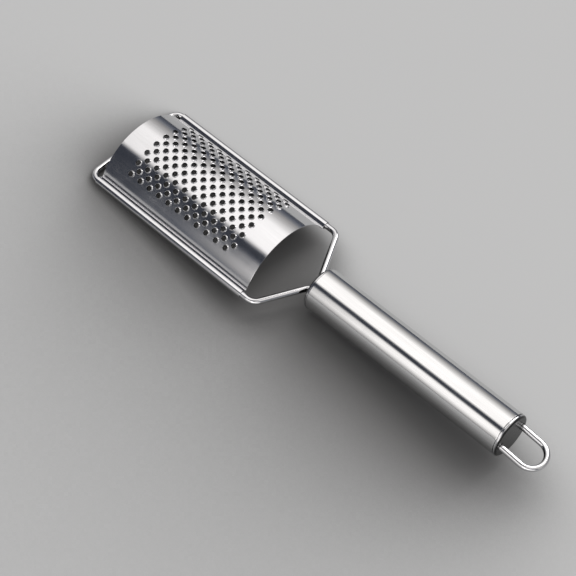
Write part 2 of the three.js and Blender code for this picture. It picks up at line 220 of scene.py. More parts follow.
def layout(sizes):
    """Places worked out from the sizes, by the same rules as the frame's own."""
    at = SimpleNamespace()
    at.wire_radius = sizes.wire / 2
    at.hem_outer = at.wire_radius + sizes.hem_clearance + sizes.sheet
    at.side_y = sizes.width / 2 - at.hem_outer
    at.leg_y = sizes.leg_spacing / 2
    at.far_x = at.wire_radius
    at.plate_start = at.far_x + sizes.far_bend + sizes.far_lead
    at.plate_end = at.plate_start + sizes.plate_length
    at.neck_turn = atan2(at.side_y - at.leg_y, sizes.neck_run)
    at.shoulder_tangent = sizes.shoulder_bend * tan(at.neck_turn / 2)
    at.neck_tangent = sizes.neck_bend * tan(at.neck_turn / 2)
    at.shoulder_x = at.plate_end + sizes.shoulder_lead + at.shoulder_tangent
    at.neck_x = at.shoulder_x + sizes.neck_run
    at.front_face = at.neck_x + at.neck_tangent + sizes.neck_lead
    at.rear_face = at.front_face + sizes.handle_length

    at.handle_radius = sizes.handle / 2
    at.skirt_outer = at.handle_radius - sizes.tube_wall - sizes.fit
    at.skirt_inner = at.skirt_outer - sizes.cap_wall
    at.front_rim = sizes.cap_edge + sizes.front_land
    at.rear_rim = sizes.cap_edge + sizes.rear_land
    at.bore_radius = at.wire_radius + sizes.fit
    at.loop_y = at.skirt_inner - sizes.fit - at.bore_radius - sizes.weld_leg

    # Centres of the hem's bends on the +Y side, from the wire in to the groove beside the arch
    def inward(tilt):
        return Vector((0, -sin(tilt), cos(tilt)))

    at.strip_run = sizes.strip * Vector((0, cos(sizes.strip_tilt), sin(sizes.strip_tilt)))
    at.wire_centre = Vector((0, at.side_y, 0))
    at.fillet_centre = at.wire_centre + (at.hem_outer + sizes.hem_fillet) * inward(sizes.hem_tilt)
    at.fold_centre = at.fillet_centre - at.strip_run
    at.fold_centre -= (sizes.hem_fillet + sizes.fold) * inward(sizes.strip_tilt)
    at.groove_centre = at.fold_centre + (sizes.fold + sizes.groove) * inward(sizes.groove_tilt)

    # The arch goes through the crown and runs smoothly into the two grooves.
    drop = sizes.arch_rise - at.groove_centre.z
    at.arch_outer = (at.groove_centre.y**2 + drop**2 - sizes.groove**2) / (
        2 * (drop + sizes.groove)
    )
    at.arch_z = sizes.arch_rise - at.arch_outer
    at.arch_half = atan2(at.groove_centre.y, at.groove_centre.z - at.arch_z)
    at.arch_arc = at.arch_half * at.arch_outer

    at.half_pitch = (sizes.hole + sizes.bridge) / sqrt(2)
    at.first_hole = at.plate_start + sizes.far_margin
    punched = sizes.plate_length - sizes.far_margin - sizes.near_margin
    at.last_column = floor(punched / at.half_pitch)
    at.last_row = floor((at.arch_arc - sizes.side_margin - sizes.punch_offset) / at.half_pitch)

    # The grater lies on the far ends of its hems and on the front edge of its handle.
    lift = at.handle_radius + sizes.handle_drop - at.hem_outer
    at.tilt = atan2(lift, at.front_face + sizes.cap_edge - at.plate_start)
    laid = Matrix.Rotation(-at.tilt, 4, "Y")
    low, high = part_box("handle_tube")
    tube_middle = Vector(((at.front_face + at.rear_face) / 2, 0, -sizes.handle_drop))
    at.placement = Matrix.Translation((low + high) / 2 - laid @ tube_middle) @ laid
    return at


def measured(context):
    """The sizes and the places worked out from them."""
    sizes = context.scene.grater_sizes
    return sizes, layout(sizes)


# Modelling


def edit():
    """Enters edit mode."""
    bpy.ops.object.mode_set(mode="EDIT")


def close():
    """Leaves edit mode."""
    bpy.ops.object.mode_set(mode="OBJECT")


def activate(*pieces):
    """Selects these pieces alone and makes the first one active."""
    bpy.ops.object.select_all(action="DESELECT")
    for piece in pieces:
        piece.select_set(True)
    if pieces:
        bpy.context.view_layer.objects.active = pieces[0]


def rename(piece, name):
    """Names a piece and its mesh."""
    piece.name = name
    piece.data.name = name
    return piece


def open_new(name):
    """Names the primitive just added, puts its place into its mesh and opens it for editing."""
    piece = rename(bpy.context.object, name)
    bpy.ops.object.transform_apply()
    edit()
    return piece


def new_circle(name, sides, radius, place=(0, 0, 0), turned=(0, 0, 0), fill="NOTHING"):
    """Starts a piece from a circle and opens it for editing."""
    activate()
    bpy.ops.mesh.primitive_circle_add(
        vertices=sides, radius=radius, location=place, rotation=turned, fill_type=fill
    )
    return open_new(name)


def near(first, second):
    """Tells whether two coordinates are one."""
    return abs(first - second) < SAME_PLACE


def lies_at(element, x):
    """Tells whether all of an edge or a face lies at one place along X."""
    return all(near(vertex.co.x, x) for vertex in element.verts)


def pick(piece, kind, test):
    """Selects the vertices, edges or faces of the open mesh that pass a test."""
    bpy.ops.mesh.select_mode(type=kind)
    bpy.ops.mesh.select_all(action="DESELECT")
    mesh = bmesh.from_edit_mesh(piece.data)
    elements = {"VERT": mesh.verts, "EDGE": mesh.edges, "FACE": mesh.faces}[kind]
    for element in elements:
        if test(element):
            element.select_set(True)
    bmesh.update_edit_mesh(piece.data)


def extrude(along):
    """Extrudes the selected face by a vector."""
    bpy.ops.mesh.extrude_region_move(TRANSFORM_OT_translate={"value": along})


def extrude_edges(along):
    """Extrudes the selected edges by a vector."""
    bpy.ops.mesh.extrude_edges_move(TRANSFORM_OT_translate={"value": along})


def swing(angle, steps, centre, axis):
    """Extrudes the selection round an axis, anticlockwise for a positive angle."""
    bpy.ops.mesh.spin(steps=steps, angle=-angle, center=centre, axis=axis)


def bevel(width, segments=1):
    """Breaks or rounds the selected edges."""
    bpy.ops.mesh.bevel(offset=width, segments=segments, affect="EDGES")


def merge():
    """Merges doubles and turns the faces of the open mesh outwards."""
    bpy.ops.mesh.select_all(action="SELECT")
    bpy.ops.mesh.remove_doubles(threshold=SAME_PLACE)
    bpy.ops.mesh.normals_make_consistent()


def modify(piece, kind, **settings):
    """Adds a modifier with these settings and applies it."""
    modifier = piece.modifiers.new(kind.title(), kind)
    for setting, value in settings.items():
        setattr(modifier, setting, value)
    bpy.context.view_layer.objects.active = piece
    bpy.ops.object.modifier_apply(modifier=modifier.name)


def turn_mesh(piece, matrix):
    """Moves a piece by a matrix and puts the move into its mesh."""
    activate(piece)
    piece.matrix_world = matrix
    bpy.ops.object.transform_apply()


def join(name, pieces):
    """Joins pieces into the first one."""
    activate(*pieces)
    bpy.ops.object.join()
    return rename(pieces[0], name)


def paint(piece, *materials):
    """Gives a piece its materials."""
    for material in materials:
        piece.data.materials.append(finishes(bpy.context.scene)[material])


def finish(piece, at, node, drop=0):
    """Lays a piece down in its place, smooths it and lets it stand for its node."""
    turn_mesh(piece, at.placement @ Matrix.Translation((0, 0, -drop)))
    bpy.ops.object.shade_smooth_by_angle(angle=SMOOTH_ANGLE)
    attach(piece, "root")
    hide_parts(node)


def bent_rod(name, radius, start, ahead, runs, hold):
    """Models a round rod. Each run is a straight length, then a turn about an axis and its radius."""
    place = Vector(start)
    ahead = Vector(ahead)
    turned = ahead.to_track_quat("Z", "Y").to_euler()
    rod = new_circle(name, ROD_SIDES, radius, place, turned, "NGON")
    for straight, axis, angle, bend in runs:
        for run in (hold, straight - 2 * hold, hold) if straight > 3 * hold else (straight,):
            extrude(ahead * run)
        place += ahead * straight
        if angle:
            axis = Vector(axis)
            centre = place + axis.cross(ahead) * copysign(bend, angle)
            swing(angle, ceil(abs(angle) / BEND_STEP), centre, axis)
            turned = Matrix.Rotation(angle, 3, axis)
            place = centre + turned @ (place - centre)
            ahead = turned @ ahead
    merge()
    close()
    return rod


# Steel finishes

# How strongly the grain tints and dulls the steel and how much the haze and the scratches dull it,
# how deep lines and waves are in millimetres, and how rough and how darkened by painted shade
# hollows and faces square to X are
Look = namedtuple("Look", "contrast grain haze scratch relief wave hollow face", defaults=(0, 0))

# Fineness counts marks in a metre, a stretch draws them out along X, and a mark comes up between
# its limits.
LINE_STRETCH = 40
BAND_STRETCH = 12
BAND_FINENESS = 0.12  # of the lines' own
TONE_LIMITS = (0.3, 0.7)
HAZE_LIMITS = (0.42, 0.68)
SCRATCH_STRETCH = 90
SCRATCH_FINENESS = 2600
SCRATCH_LIMITS = (0.72, 0.8)
SCRATCH_TURNS = (radians(12), radians(-21), radians(64))
RIDGE_LIMITS = (0.52, 0.6)
# Hollows found by Pointiness, which get painted shade
HOLLOW_LIMITS = (0.48, 0.4)
WEAR_FINENESS = 350
WEAR_LIMITS = (0.3, 0.6)
RUBBED_TINT = 0.6  # of the way to the light tone of the grain
# Faces this square to X get painted shade
FACE_LIMITS = (0.12, 0.75)
PAINTED_SHADE = 0.05  # of the steel's brightness left where painted shade darkens flat faces square to X and hollows

# Places of a Mix node's factor, its two colours and its mixed colour among its sockets
MIX_INPUTS = (0, 6, 7)
MIX_RESULT = 2


def new_group(name, outputs, **inputs):
    """A shader node group that takes a vector and these values, and its two end nodes."""
    group = bpy.data.node_groups.new(name, "ShaderNodeTree")
    group.interface.new_socket(name="Vector", in_out="INPUT", socket_type="NodeSocketVector")
    for socket, default in inputs.items():
        made = group.interface.new_socket(name=socket, in_out="INPUT", socket_type="NodeSocketFloat")
        made.default_value = default
    for socket in outputs:
        group.interface.new_socket(name=socket, in_out="OUTPUT", socket_type="NodeSocketFloat")
    return group, group.nodes.new("NodeGroupInput"), group.nodes.new("NodeGroupOutput")


def node(tree, kind, settings=(), **values):
    """Adds a node, with settings on the node and values on its input sockets."""
    made = tree.nodes.new(kind)
    for setting, value in dict(settings).items():
        setattr(made, setting, value)
    for socket, value in values.items():
        feed(tree, made.inputs[socket.replace("_", " ")], value)
    return made


def feed(tree, socket, value):
    """Links a value to a socket, or sets it there if it is a plain number or colour."""
    if isinstance(value, bpy.types.NodeSocket):
        tree.links.new(value, socket)
    else:
        socket.default_value = value


def math(tree, operation, *values):
    """Adds a Math node of sockets or plain numbers and gives its output."""
    made = node(tree, "ShaderNodeMath", {"operation": operation})
    for socket, value in zip(made.inputs, values):
        feed(tree, socket, value)
    return made.outputs[0]


def product(tree, first, *others):
    """Multiplies values together."""
    for other in others:
        first = math(tree, "MULTIPLY", first, other)
    return first


def ramp(tree, value, low, high, eased=True):
    """Maps a value so that low gives 0 and high gives 1, clamped."""
    kind = {"interpolation_type": "SMOOTHSTEP" if eased else "LINEAR"}
    made = node(tree, "ShaderNodeMapRange", kind, Value=value, From_Min=low, From_Max=high)
    return made.outputs["Result"]


def mix(tree, *values):
    """Mixes by a factor from one colour to another."""
    made = node(tree, "ShaderNodeMix", {"data_type": "RGBA"})
    for index, value in zip(MIX_INPUTS, values):
        feed(tree, made.inputs[index], value)
    return made.outputs[MIX_RESULT]


def toned(base, part=1):
    """A colour at a part of its brightness, as a socket takes it."""
    return (*(min(1, channel * part) for channel in base), 1)


def noise(tree, vector, scale, **values):
    """Noise of a scale over a vector."""
    return node(tree, "ShaderNodeTexNoise", Vector=vector, Scale=scale, **values).outputs["Fac"]


def stretched_noise(tree, vector, stretch, scale, detail):
    """Noise drawn out along X by a stretch."""
    drawn = node(tree, "ShaderNodeVectorMath", {"operation": "DIVIDE"})
    feed(tree, drawn.inputs[0], vector)
    feed(tree, drawn.inputs[1], (stretch, 1, 1))
    return noise(tree, drawn.outputs[0], scale, Detail=detail, Roughness=0.6)


def grain_group():
    """Fine lines that rolling, drawing or polishing leaves along X, and broader bands."""
    group, given, result = new_group("Steel Grain", ("Lines", "Bands"), Fineness=2400)
    vector = given.outputs["Vector"]
    fineness = given.outputs["Fineness"]
    coarse = math(group, "MULTIPLY", fineness, BAND_FINENESS)
    lines = stretched_noise(group, vector, LINE_STRETCH, fineness, 3)
    bands = stretched_noise(group, vector, BAND_STRETCH, coarse, 2)
    group.links.new(lines, result.inputs["Lines"])
    group.links.new(bands, result.inputs["Bands"])
    return group


def handling_group():
    """Haze left by hands and cloths, and thin stray scratches."""
    group, given, result = new_group("Handling Marks", ("Haze", "Scratches"), Size=60)
    vector = given.outputs["Vector"]
    haze = noise(group, vector, given.outputs["Size"], Detail=4, Roughness=0.55, Distortion=0.8)
    group.links.new(ramp(group, haze, *HAZE_LIMITS), result.inputs["Haze"])
    found = 0
    for angle in SCRATCH_TURNS:
        turned = node(group, "ShaderNodeMapping", Vector=vector, Rotation=(angle, angle / 3, angle))
        marks = stretched_noise(group, turned.outputs[0], SCRATCH_STRETCH, SCRATCH_FINENESS, 1)
        found = math(group, "MAXIMUM", ramp(group, marks, *SCRATCH_LIMITS), found)
    group.links.new(found, result.inputs["Scratches"])
    return group


def edge_group():
    """Edges and rims that use has rubbed bright, and hollows, which get painted shade."""
    group, given, result = new_group("Worn Edges and Hollow Shade", ("Rubbed", "Hollows"))
    shape = group.nodes.new("ShaderNodeNewGeometry").outputs["Pointiness"]
    patches = noise(group, given.outputs["Vector"], WEAR_FINENESS, Detail=3)
    worn = ramp(group, patches, *WEAR_LIMITS)
    rubbed = math(group, "MULTIPLY", ramp(group, shape, *RIDGE_LIMITS), worn)
    group.links.new(rubbed, result.inputs["Rubbed"])
    # The hollows mask carries painted shade into the steel's colour
    group.links.new(ramp(group, shape, *HOLLOW_LIMITS), result.inputs["Hollows"])
    return group


def steel(name, base, roughness, tilt, groups, fineness, look):
    """Stainless steel whose grain runs along the laid-down grater."""
    material = bpy.data.materials.new(name)
    material.use_nodes = True
    tree = material.node_tree
    shader = tree.nodes["Principled BSDF"]
    shader.inputs["Metallic"].default_value = 1

    place = tree.nodes.new("ShaderNodeTexCoord")
    turned = node(tree, "ShaderNodeMapping", Vector=place.outputs["Object"], Rotation=(0, tilt, 0))
    marks = {}
    for group in groups:
        made = node(tree, "ShaderNodeGroup", {"node_tree": group}, Vector=turned.outputs[0])
        if "Fineness" in made.inputs:
            made.inputs["Fineness"].default_value = fineness
        marks.update(made.outputs.items())
    # Painted shade: a mask over faces square to X and over hollows, which darkens the colour and
    # roughens the gloss
    facing = tree.nodes.new("ShaderNodeSeparateXYZ")
    tree.links.new(place.outputs["Normal"], facing.inputs[0])
    flat = ramp(tree, math(tree, "ABSOLUTE", facing.outputs["X"]), *FACE_LIMITS)
    hollows = math(tree, "MULTIPLY", marks["Hollows"], look.hollow)
    dull_and_painted_shade = math(tree, "MAXIMUM", math(tree, "MULTIPLY", flat, look.face), hollows)

    # Lighter and darker grain, brighter on rubbed edges, and darkened by painted shade on flat faces
    # square to X and in hollows
    light = toned(base, 1 + look.contrast)
    tone = math(tree, "MULTIPLY", math(tree, "ADD", marks["Lines"], marks["Bands"]), 0.5)
    shade = mix(tree, ramp(tree, tone, *TONE_LIMITS), toned(base, 1 - look.contrast), light)
    shade = mix(tree, math(tree, "MULTIPLY", marks["Rubbed"], RUBBED_TINT), shade, light)
    shade = mix(tree, dull_and_painted_shade, shade, toned(base, PAINTED_SHADE))
    tree.links.new(shade, shader.inputs["Base Color"])

    # Gloss, less under haze and scratches and more on rubbed edges
    gloss = roughness - look.grain / 2
    for mask, change in (
        (marks["Lines"], look.grain),
        (marks["Haze"], look.haze),
        (marks["Scratches"], look.scratch),
        (dull_and_painted_shade, roughness),
        (marks["Rubbed"], -roughness / 3),
    ):
        gloss = math(tree, "MULTIPLY_ADD", mask, change, gloss)
    gloss.node.use_clamp = True
    tree.links.new(gloss, shader.inputs["Roughness"])

    # Relief
    height = math(tree, "MULTIPLY", marks["Lines"], look.relief)
    height = math(tree, "MULTIPLY_ADD", marks["Bands"], look.wave, height)
    height = math(tree, "MULTIPLY_ADD", marks["Scratches"], -look.relief, height)
    bump = node(tree, "ShaderNodeBump", Strength=1, Distance=MM, Height=height)
    tree.links.new(bump.outputs["Normal"], shader.inputs["Normal"])


def finishes(scene):
    """The materials of the grater, made once."""
    if "rolled_sheet" in bpy.data.materials:
        return bpy.data.materials
    values = scene.grater_finish
    tilt = layout(scene.grater_sizes).tilt
    groups = (grain_group(), handling_group(), edge_group())
    for name, part, fineness, look in (
        ("rolled_sheet", "sheet", 2200, Look(0.04, 0.05, 0.03, 0.06, 0.0015, 0.003)),
        # The underside is painted shade for the inside of the arch
        ("painted_shade_underside", "underside", 1800, Look(0.15, 0.12, 0.1, 0.1, 0.006, 0.01)),
        ("polished_wire", "wire", 3000, Look(0.02, 0.02, 0.02, 0.03, 0.0001, 0)),
        ("satin_tube", "tube", 2600, Look(0.06, 0.06, 0.03, 0.05, 0.002, 0.004)),
        # The caps' flat faces square to X and their hollows are darkened with painted shade
        ("pressed_cap", "cap", 2000, Look(0.1, 0.06, 0.05, 0.06, 0.003, 0.004, hollow=1, face=1)),
        ("dull_weld", "weld", 900, Look(0.3, 0.2, 0.1, 0.1, 0.03, 0.03)),
    ):
        base = getattr(values, part + "_colour")
        roughness = getattr(values, part + "_roughness")
        steel(name, base, roughness, tilt, groups, fineness, look)
    return bpy.data.materials


# Pieces


class GRATER_OT_plate(bpy.types.Operator):
    """Punch the teeth into a flat sheet, arch it and roll its edges into hems"""

    bl_idname = "grater.plate"
    bl_label = "Grater Plate"

    def execute(self, context):
        sizes, at = measured(context)
        plate = self.punched_sheet(sizes, at)
        self.trim(plate, at)
        self.arch(plate, at)
        for side in (1, -1):
            self.roll_hem(plate, sizes, at, side)
        merge()
        self.face_up(plate)
        close()
        paint(plate, "rolled_sheet", "painted_shade_underside")
        modify(
            plate,
            "SOLIDIFY",
            material_offset=1,
            thickness=sizes.sheet,
            offset=-1,
            use_even_offset=True,
            vertex_group="lip",
            invert_vertex_group=True,
            thickness_vertex_group=sizes.lip,
        )
        self.break_edges(plate, sizes, at)
        finish(plate, at, "grater_plate")
        return {"FINISHED"}

    def face_up(self, plate):
        """Turns the open sheet's faces to its outer side, which is up at the crown."""
        mesh = bmesh.from_edit_mesh(plate.data)
        crown = max(mesh.faces, key=lambda face: face.calc_center_median().z)
        if crown.normal.z < 0:
            bpy.ops.mesh.select_all(action="SELECT")
            bpy.ops.mesh.flip_normals()

    def break_edges(self, plate, sizes, at):
        """Rounds the cut edges at the two ends of the sheet."""
        edit()

        def on_end(edge):
            ends = [min(v.co.x - at.plate_start, at.plate_end - v.co.x) for v in edge.verts]
            return max(ends) < SAME_PLACE and edge.calc_face_angle(0) > CUT_ANGLE

        pick(plate, "EDGE", on_end)
        bevel(sizes.sheet_edge)
        close()

    def tooth_tile(self, sizes, at):
        """One diamond of the sheet with a hole whose edge is pressed up."""
        tile = new_circle("tooth_tile", TOOTH_SIDES, sizes.hole / 2, (0, 0, sizes.tooth_rise))
        # The tooth flares towards its foot, whose edge is kept sharp so that the sheet stays flat.
        across = sizes.hole
        for wider, fall in (
            (sizes.tooth_waist, sizes.tooth_rise - sizes.waist_rise),
            (sizes.tooth_foot, sizes.waist_rise),
        ):
            extrude_edges((0, 0, -fall))
            grow = wider / across
            bpy.ops.transform.resize(value=(grow, grow, 1), center_override=(0, 0, 0))
            across = wider
        bpy.ops.mesh.mark_sharp()
        # The diamond is joined on from below, where the two rings face each other, and lifted.
        below = -sizes.hole
        bpy.ops.mesh.primitive_circle_add(vertices=4, radius=at.half_pitch, location=(0, 0, below))
        bpy.ops.mesh.subdivide(number_cuts=TILE_CUTS)

        def on_ring(edge):
            top = max(vertex.co.z for vertex in edge.verts)
            return len(edge.link_faces) < 2 and top < sizes.tooth_rise / 2

        pick(tile, "EDGE", on_ring)
        bpy.ops.mesh.bridge_edge_loops()
        pick(tile, "VERT", lambda vertex: vertex.co.z < below / 2)
        bpy.ops.transform.translate(value=(0, 0, -below))
        close()
        lip = tile.vertex_groups.new(name="lip")
        rim = [v.index for v in tile.data.vertices if near(v.co.z, sizes.tooth_rise)]
        lip.add(rim, 1, "REPLACE")
        return tile

    def plain_tile(self, at):
        """One diamond of the sheet without a hole."""
        activate()
        bpy.ops.mesh.primitive_grid_add(
            x_subdivisions=TILE_CUTS + 1,
            y_subdivisions=TILE_CUTS + 1,
            size=at.half_pitch * sqrt(2),
            rotation=(0, 0, pi / 4),
        )
        tile = open_new("plain_tile")
        close()
        return tile

    def spread(self, tile, sizes, at, columns, rows):
        """Copies a tile over a grid of every second column and row, from the first to the last."""
        start = Vector((at.first_hole + columns[0] * at.half_pitch, 0, 0))
        start.y = sizes.punch_offset + rows[0] * at.half_pitch
        turn_mesh(tile, Matrix.Translation(start))
        step = 2 * at.half_pitch
        for (first, last), offset in ((columns, (step, 0, 0)), (rows, (0, step, 0))):
            modify(
                tile,
                "ARRAY",
                count=(last - first) // 2 + 1,
                use_relative_offset=False,
                use_constant_offset=True,
                constant_offset_displace=offset,
            )
        return tile

    def punched_sheet(self, sizes, at):
        """A flat sheet of diamond tiles, with teeth in the middle and plain margins round them."""
        sheets = []
        for margin in (0, SPARE_TILES):
            for odd in (0, 1):
                tile = self.plain_tile(at) if margin else self.tooth_tile(sizes, at)
                last = at.last_column - (at.last_column + odd) % 2
                columns = (odd - margin, last + margin)
                rows = (odd - at.last_row - margin, at.last_row + margin - odd)
                sheets.append(self.spread(tile, sizes, at, columns, rows))
        plate = join("grater_plate_sheet", sheets[2:])
        edit()

        def under_tooth(face):
            middle = face.calc_center_median()
            along = (middle.x - at.first_hole) / at.half_pitch
            across = (middle.y - sizes.punch_offset) / at.half_pitch
            # Diamonds are squares in the sum and the difference of the two.
            total = 2 * floor((along + across) / 2) + 1
            difference = 2 * floor((along - across) / 2) + 1
            column = (total + difference) / 2
            row = (total - difference) / 2
            return 0 <= column <= at.last_column and abs(row) <= at.last_row

        pick(plate, "FACE", under_tooth)
        bpy.ops.mesh.delete(type="FACE")
        close()
        plate = join("grater_plate_sheet", [plate, *sheets[:2]])
        edit()
        merge()
        return plate

    def trim(self, plate, at):
        """Cuts the open sheet to its length and to the arc of the arch."""
        for place, outward in (
            ((at.plate_start, 0, 0), (-1, 0, 0)),
            ((at.plate_end, 0, 0), (1, 0, 0)),
            ((0, at.arch_arc, 0), (0, 1, 0)),
            ((0, -at.arch_arc, 0), (0, -1, 0)),
        ):
            bpy.ops.mesh.select_all(action="SELECT")
            bpy.ops.mesh.bisect(
                plane_co=place, plane_no=outward, clear_outer=True, threshold=SAME_PLACE / 2
            )
        close()

    def arch(self, plate, at):
        """Bends the flat sheet, which is the outer skin of the plate, about X."""
        upright = Matrix.Rotation(pi / 2, 4, "X")
        turn_mesh(plate, upright)
        bent = 2 * at.arch_half
        modify(plate, "SIMPLE_DEFORM", deform_method="BEND", deform_axis="X", angle=bent)
        crown = Matrix.Translation((0, 0, at.arch_z + at.arch_outer))
        turn_mesh(plate, crown @ upright.inverted())
        edit()

    def roll_hem(self, plate, sizes, at, side):
        """Folds one long edge of the open plate into a groove and rolls it round the wire."""
        foot = at.arch_outer * sin(at.arch_half)

        def on_foot(edge):
            return all(near(side * vertex.co.y, foot) for vertex in edge.verts)

        def bend(angle, centre):
            steps = ceil(abs(angle) / HEM_STEP)
            swing(side * angle, steps, centre * Vector((1, side, 1)), (1, 0, 0))

        pick(plate, "EDGE", on_foot)
        bend(at.arch_half + sizes.groove_tilt, at.groove_centre)
        bend(sizes.strip_tilt - sizes.groove_tilt, at.fold_centre)
        run = at.strip_run * Vector((1, side, 1))
        for part in (sizes.hold, sizes.strip - 2 * sizes.hold, sizes.hold):
            extrude_edges(run * (part / sizes.strip))
        bend(sizes.hem_tilt - sizes.strip_tilt, at.fillet_centre)
        bend(-sizes.hem_wrap, at.wire_centre)


class GRATER_OT_frame_wire(bpy.types.Operator):
    """Bend the frame wire from the handle round the head and back"""

    bl_idname = "grater.frame_wire"
    bl_label = "Frame Wire"

    def execute(self, context):
        sizes, at = measured(context)
        leg_end = at.front_face + sizes.cap_wall + sizes.leg_depth
        leg = leg_end - at.neck_x - at.neck_tangent
        slant = hypot(sizes.neck_run, at.side_y - at.leg_y) - at.neck_tangent - at.shoulder_tangent
        side = at.shoulder_x - at.shoulder_tangent - at.far_x - sizes.far_bend
        across = 2 * (at.side_y - sizes.far_bend)
        up = (0, 0, 1)
        runs = [
            (leg, up, -at.neck_turn, sizes.neck_bend),
            (slant, up, at.neck_turn, sizes.shoulder_bend),
            (side, up, pi / 2, sizes.far_bend),
            (across, up, pi / 2, sizes.far_bend),
            (side, up, at.neck_turn, sizes.shoulder_bend),
            (slant, up, -at.neck_turn, sizes.neck_bend),
            (leg, up, 0, 0),
        ]
        start = (leg_end, at.leg_y, 0)
        wire = bent_rod("frame_wire_rod", at.wire_radius, start, (-1, 0, 0), runs, sizes.hold)
        paint(wire, "polished_wire")
        finish(wire, at, "frame_wire")
        return {"FINISHED"}


class GRATER_OT_hanging_loop(bpy.types.Operator):
    """Bend the hanging loop, whose two legs go into the rear cap"""

    bl_idname = "grater.hanging_loop"
    bl_label = "Hanging Loop"

    def execute(self, context):
        sizes, at = measured(context)
        inside = sizes.cap_wall + sizes.leg_depth
        tangent = sizes.droop_bend * tan(sizes.loop_droop / 2)
        leg = inside + sizes.loop_lead - tangent
        slope = sizes.loop_straight - sizes.loop_lead - tangent
        across = (0, 1, 0)
        drooped_up = (sin(sizes.loop_droop), 0, cos(sizes.loop_droop))
        runs = [
            (leg, across, sizes.loop_droop, sizes.droop_bend),
            (slope, drooped_up, -pi, at.loop_y),
            (slope, across, -sizes.loop_droop, sizes.droop_bend),
            (leg, across, 0, 0),
        ]
        start = (at.rear_face - inside, at.loop_y, 0)
        loop = bent_rod("hanging_loop_rod", at.wire_radius, start, (1, 0, 0), runs, sizes.hold)
        paint(loop, "polished_wire")
        finish(loop, at, "hanging_loop", sizes.handle_drop)
        return {"FINISHED"}


class GRATER_OT_handle_tube(bpy.types.Operator):
    """Draw the thin round tube of the handle and round its two ends"""

    bl_idname = "grater.handle_tube"
    bl_label = "Handle Tube"

    def execute(self, context):
        sizes, at = measured(context)
        start = at.front_face + at.front_rim + sizes.front_seam
        end = at.rear_face - at.rear_rim - sizes.rear_seam
        place = (start, 0, 0)
        tube = new_circle("handle_tube_shell", HANDLE_SIDES, at.handle_radius, place, ACROSS_X)
        hold = sizes.rear_lip + sizes.hold
        for run in (hold, end - start - 2 * hold, hold):
            extrude_edges((run, 0, 0))
        merge()
        close()
        modify(tube, "SOLIDIFY", thickness=sizes.tube_wall, offset=-1)
        edit()
        for end_x, lip in ((start, sizes.front_lip), (end, sizes.rear_lip)):

            def outer_end(edge):
                radii = [hypot(vertex.co.y, vertex.co.z) for vertex in edge.verts]
                return lies_at(edge, end_x) and min(radii) > at.handle_radius - SAME_PLACE

            pick(tube, "EDGE", outer_end)
            bevel(lip, TUBE_LIP_STEPS)
        close()
        paint(tube, "satin_tube")
        finish(tube, at, "handle_tube", sizes.handle_drop)
        return {"FINISHED"}


class GRATER_OT_end_caps(bpy.types.Operator):
    """Press the two cups that close the handle, with bores for the wire legs"""

    bl_idname = "grater.end_caps"
    bl_label = "End Caps"

    def execute(self, context):
        sizes, at = measured(context)
        for name, face, rim, leg_y, leg_z in (
            ("front_cap", at.front_face, at.front_rim, at.leg_y, sizes.handle_drop),
            ("rear_cap", at.rear_face, -at.rear_rim, at.loop_y, 0),
        ):
            cap = self.cup(name + "_cup", sizes, at, face, rim)
            for side in (1, -1):
                self.bore(cap, sizes, at, face, (side * leg_y, leg_z))
            paint(cap, "pressed_cap")
            finish(cap, at, name, sizes.handle_drop)
        return {"FINISHED"}

    def cup(self, name, sizes, at, face, rim):
        """A pressed cup whose outer face is at x = face, with its skirt on the side of its rim."""
        cap = new_circle(name, HANDLE_SIDES, at.handle_radius, (face, 0, 0), ACROSS_X, "NGON")
        skirt = copysign(sizes.cap_skirt, rim)
        extrude((rim, 0, 0))
        bpy.ops.mesh.inset(thickness=at.handle_radius - at.skirt_outer)
        extrude((skirt, 0, 0))
        bpy.ops.mesh.inset(thickness=sizes.cap_wall)
        extrude((copysign(sizes.cap_wall, rim) - rim - skirt, 0, 0))
        pick(cap, "EDGE", lambda edge: lies_at(edge, face))
        bevel(sizes.cap_edge, CAP_EDGE_STEPS)
        pick(cap, "FACE", lambda end: lies_at(end, face))
        bpy.ops.mesh.inset(thickness=sizes.hold)
        merge()
        close()
        return cap

    def bore(self, cap, sizes, at, face, leg):
        """Cuts the bore of one wire leg through a cap and breaks its outer edge."""
        activate()
        bpy.ops.mesh.primitive_cylinder_add(
            vertices=ROD_SIDES,
            radius=at.bore_radius,
            depth=4 * (at.front_rim + sizes.cap_skirt),
            location=(face, *leg),
            rotation=ACROSS_X,
        )
        cutter = open_new("bore_cutter")
        close()
        modify(cap, "BOOLEAN", operation="DIFFERENCE", object=cutter)
        bpy.data.objects.remove(cutter)
        edit()

        def on_bore(edge):
            radii = [hypot(v.co.y - leg[0], v.co.z - leg[1]) for v in edge.verts]
            return lies_at(edge, face) and all(near(radius, at.bore_radius) for radius in radii)

        pick(cap, "EDGE", on_bore)
        bevel(sizes.bore_edge)
        close()


class GRATER_OT_weld_beads(bpy.types.Operator):
    """Paint the weld fillets that hold the wire legs inside the caps"""

    bl_idname = "grater.weld_beads"
    bl_label = "Weld Beads"

    def execute(self, context):
        for name, bead in frame["nodes"].items():
            if "weld" in name:
                bead.data.materials.clear()
                paint(bead, "dull_weld")
        return {"FINISHED"}


# Studio


